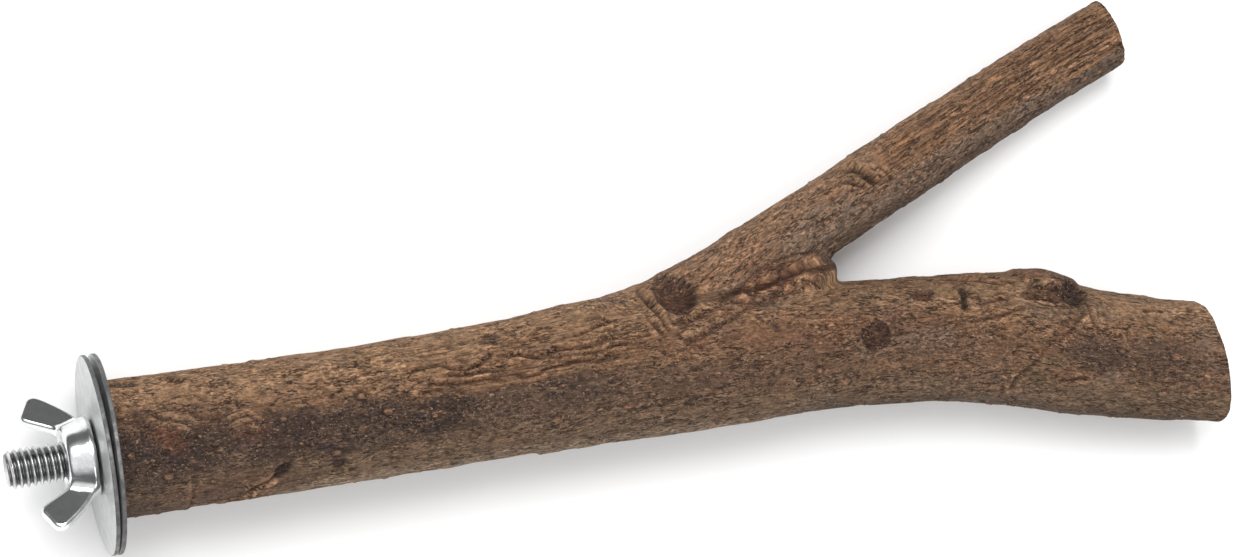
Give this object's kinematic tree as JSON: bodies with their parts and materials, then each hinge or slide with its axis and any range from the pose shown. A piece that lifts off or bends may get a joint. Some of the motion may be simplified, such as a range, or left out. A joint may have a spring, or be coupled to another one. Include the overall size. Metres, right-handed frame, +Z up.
{
  "type": "forked branch bird perch",
  "caption": "Forked bark-on branch perch with a threaded stud, wide washers and a wing nut that clamp it to cage bars.",
  "frame": {"origin": "middle of the bounding box at the surface that the perch lies on", "axes": "+X from the stud into the branch, +Y to the side of the side branch, +Z up"},
  "size_m": [0.1904, 0.0684, 0.03],
  "materials": {
    "bark": "dry matt bark, tan to dark grey-brown",
    "stud_steel": "bright zinc plating",
    "washer_steel": "satin zinc plating",
    "nut_chrome": "polished"
  },
  "bodies": {
    "root": {"stem": "bark", "side_branch": "bark", "leader": "bark", "leader_end": "bark", "hanger_bolt": "stud_steel", "inner_washer": "washer_steel"},
    "clamp_washer": {"outer_washer": "washer_steel"},
    "wing_nut": {"wing_nut": "nut_chrome"}
  },
  "joints": [
    {"name": "clamp_slide", "type": "slide", "parent": "root", "child": "clamp_washer", "axis": [-1, 0, 0], "range_m": [0, 0.006]},
    {"name": "nut_turn", "type": "hinge", "parent": "clamp_washer", "child": "wing_nut", "pos_m": [-0.0845, -0.01114, 0.015], "axis": [-1, 0, 0], "range_deg": [0, 2160]}
  ],
  "couplings": [
    {"joint": "clamp_slide", "follows": "nut_turn", "m_per_rad": 0.00015915}
  ]
}
